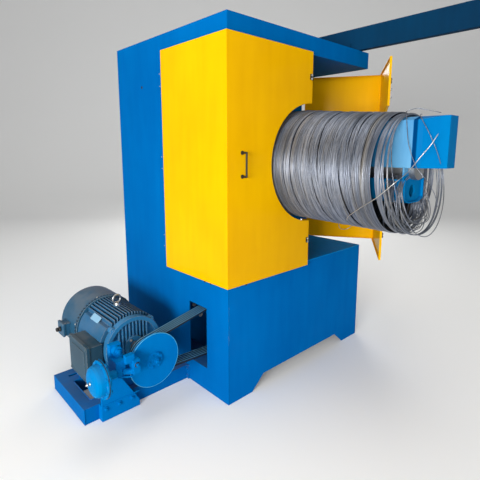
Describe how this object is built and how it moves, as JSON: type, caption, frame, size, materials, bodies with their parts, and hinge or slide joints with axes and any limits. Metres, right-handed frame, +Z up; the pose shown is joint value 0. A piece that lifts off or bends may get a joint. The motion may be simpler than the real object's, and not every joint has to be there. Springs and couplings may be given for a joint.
{
  "type": "wire drawing machine take-up block",
  "caption": "Take-up block of a wire drawing machine: C-shaped housing with corner guard doors, level drum and mandrel with a wire coil, and a belt-drive motor with a disc brake beside it.",
  "frame": {"origin": "on the floor below the drum's axis, in the plane of the column's front face", "axes": "+Z up, +Y into the machine along the drum's axis, +X to the right as seen from the front"},
  "size_m": [2.6958, 2.4, 2.536],
  "materials": {
    "housing_blue": "gloss enamel with light dust and scuffs",
    "bright_blue": "gloss enamel",
    "door_yellow": "gloss enamel",
    "motor_grey": "satin machine paint, dusty",
    "drum_iron": "turned, oily",
    "machined_steel": "turned",
    "wire_steel": "drawn wire with dry soap film",
    "zinc": "bright zinc plate",
    "belt_rubber": "worn wrap cloth",
    "handle_black": "moulded"
  },
  "bodies": {
    "root": {"column": "housing_blue", "hood": "housing_blue", "base_left_wall": "housing_blue", "base_front_wall": "housing_blue", "base_right_wall": "housing_blue", "base_top_plate": "housing_blue", "overhead_beam": "housing_blue", "beam_cleats": "housing_blue", "spindle_bearing": "housing_blue", "door_catch": "zinc", "left_hinges": "zinc", "right_hinges": "zinc", "driven_bearing": "housing_blue", "drive_belts": "belt_rubber", "motor_body": "motor_grey", "motor_end_shield": "motor_grey", "motor_fan_cowl": "motor_grey", "motor_feet": "motor_grey", "motor_terminal_box": "motor_grey", "terminal_box_lid": "motor_grey", "fan_junction_box": "motor_grey", "lifting_eye": "zinc", "brake_stand": "housing_blue", "brake_caliper": "bright_blue", "brake_chamber": "bright_blue", "motor_frame": "housing_blue", "motor_slide_rails": "housing_blue"},
    "left_leaf": {"left_door": "door_yellow", "left_door_knuckles": "zinc", "left_door_handle": "handle_black", "left_door_latches": "zinc"},
    "right_leaf": {"right_door": "door_yellow", "right_door_knuckles": "zinc", "right_door_handle": "handle_black", "right_door_latches": "zinc"},
    "block": {"spindle": "machined_steel", "drum": "drum_iron", "drum_web": "drum_iron", "mandrel_upper": "bright_blue", "mandrel_lower": "bright_blue", "mandrel_frames": "bright_blue", "wire_coil": "wire_steel"},
    "driven_wheel": {"driven_pulley": "drum_iron", "driven_shaft": "machined_steel"},
    "motor_rotor": {"motor_shaft": "machined_steel", "motor_pulley": "drum_iron", "brake_disc": "bright_blue"}
  },
  "joints": [
    {"name": "left_door_hinge", "type": "hinge", "parent": "root", "child": "left_leaf", "pos_m": [-0.762, 0.002, 1.525], "axis": [0, 0, -1], "range_deg": [0, 110]},
    {"name": "right_door_hinge", "type": "hinge", "parent": "root", "child": "right_leaf", "pos_m": [0.762, 0.002, 1.525], "axis": [0, 0, 1], "range_deg": [-33, 77]},
    {"name": "drum_spin", "type": "hinge", "parent": "root", "child": "block", "pos_m": [0, -0.3, 1.513], "axis": [0, 1, 0], "continuous": true},
    {"name": "driven_spin", "type": "hinge", "parent": "root", "child": "driven_wheel", "pos_m": [-0.42, -0.3, 0.437], "axis": [0, 1, 0], "continuous": true},
    {"name": "motor_spin", "type": "hinge", "parent": "root", "child": "motor_rotor", "pos_m": [-1.154, -0.3, 0.387], "axis": [0, 1, 0], "continuous": true}
  ],
  "couplings": [
    {"joint": "motor_spin", "follows": "driven_spin", "ratio": 1.9154}
  ]
}
